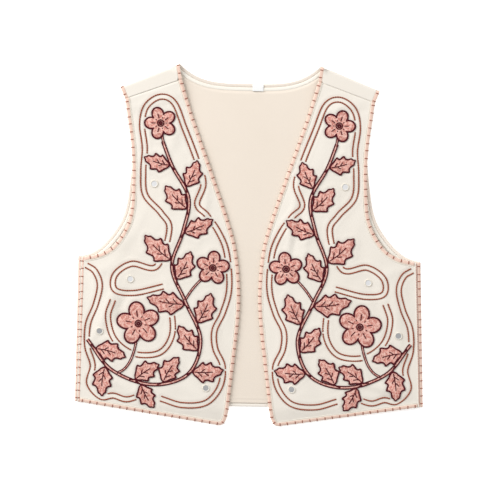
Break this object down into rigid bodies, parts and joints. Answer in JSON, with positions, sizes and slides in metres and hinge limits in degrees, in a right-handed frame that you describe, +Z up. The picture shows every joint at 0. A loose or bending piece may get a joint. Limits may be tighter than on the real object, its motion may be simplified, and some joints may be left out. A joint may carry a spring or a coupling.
{
  "type": "waistcoat",
  "caption": "Short open-fronted cloth waistcoat laid flat, with a V neck, banded edges and leaf and blossom applique on both fronts.",
  "frame": {"origin": "under the middle of the garment, on the surface that it lies on", "axes": "+Z up out of the surface, +Y towards the neck, +X towards the wearer's left, which is the viewer's right"},
  "size_m": [0.504, 0.5247, 0.0095],
  "materials": {
    "cream_cloth": "fine matt weave",
    "beige_lining": "plain woven lining",
    "cream_tape": "plain woven tape",
    "pink_tape": "flat woven tape with blanket stitch",
    "pink_applique": "mottled cloth",
    "white_label": "folded satin tape"
  },
  "bodies": {
    "root": {"back": "cream_cloth", "back_lining": "beige_lining", "neck_label": "white_label", "back_hem_band": "pink_tape", "back_neck_band": "pink_tape", "back_side_band_left": "pink_tape", "back_side_band_right": "pink_tape", "back_armhole_band_left": "pink_tape", "back_armhole_band_right": "pink_tape", "inside_neck_tape": "cream_tape", "inside_armhole_tape_left": "cream_tape", "inside_armhole_tape_right": "cream_tape", "front_left": "cream_cloth", "front_edge_band_left": "pink_tape", "front_side_band_left": "pink_tape", "front_armhole_band_left": "pink_tape", "leaf_left_1": "pink_applique", "leaf_left_2": "pink_applique", "leaf_left_3": "pink_applique", "leaf_left_4": "pink_applique", "leaf_left_5": "pink_applique", "leaf_left_6": "pink_applique", "leaf_left_7": "pink_applique", "leaf_left_8": "pink_applique", "leaf_left_9": "pink_applique", "leaf_left_10": "pink_applique", "leaf_left_11": "pink_applique", "leaf_left_12": "pink_applique", "leaf_left_13": "pink_applique", "leaf_left_14": "pink_applique", "leaf_left_15": "pink_applique", "blossom_left_1": "pink_applique", "blossom_left_2": "pink_applique", "blossom_left_3": "pink_applique", "front_right": "cream_cloth", "front_edge_band_right": "pink_tape", "front_side_band_right": "pink_tape", "front_armhole_band_right": "pink_tape", "leaf_right_1": "pink_applique", "leaf_right_2": "pink_applique", "leaf_right_3": "pink_applique", "leaf_right_4": "pink_applique", "leaf_right_5": "pink_applique", "leaf_right_6": "pink_applique", "leaf_right_7": "pink_applique", "leaf_right_8": "pink_applique", "leaf_right_9": "pink_applique", "leaf_right_10": "pink_applique", "leaf_right_11": "pink_applique", "leaf_right_12": "pink_applique", "leaf_right_13": "pink_applique", "leaf_right_14": "pink_applique", "leaf_right_15": "pink_applique", "blossom_right_1": "pink_applique", "blossom_right_2": "pink_applique", "blossom_right_3": "pink_applique"}
  },
  "joints": []
}
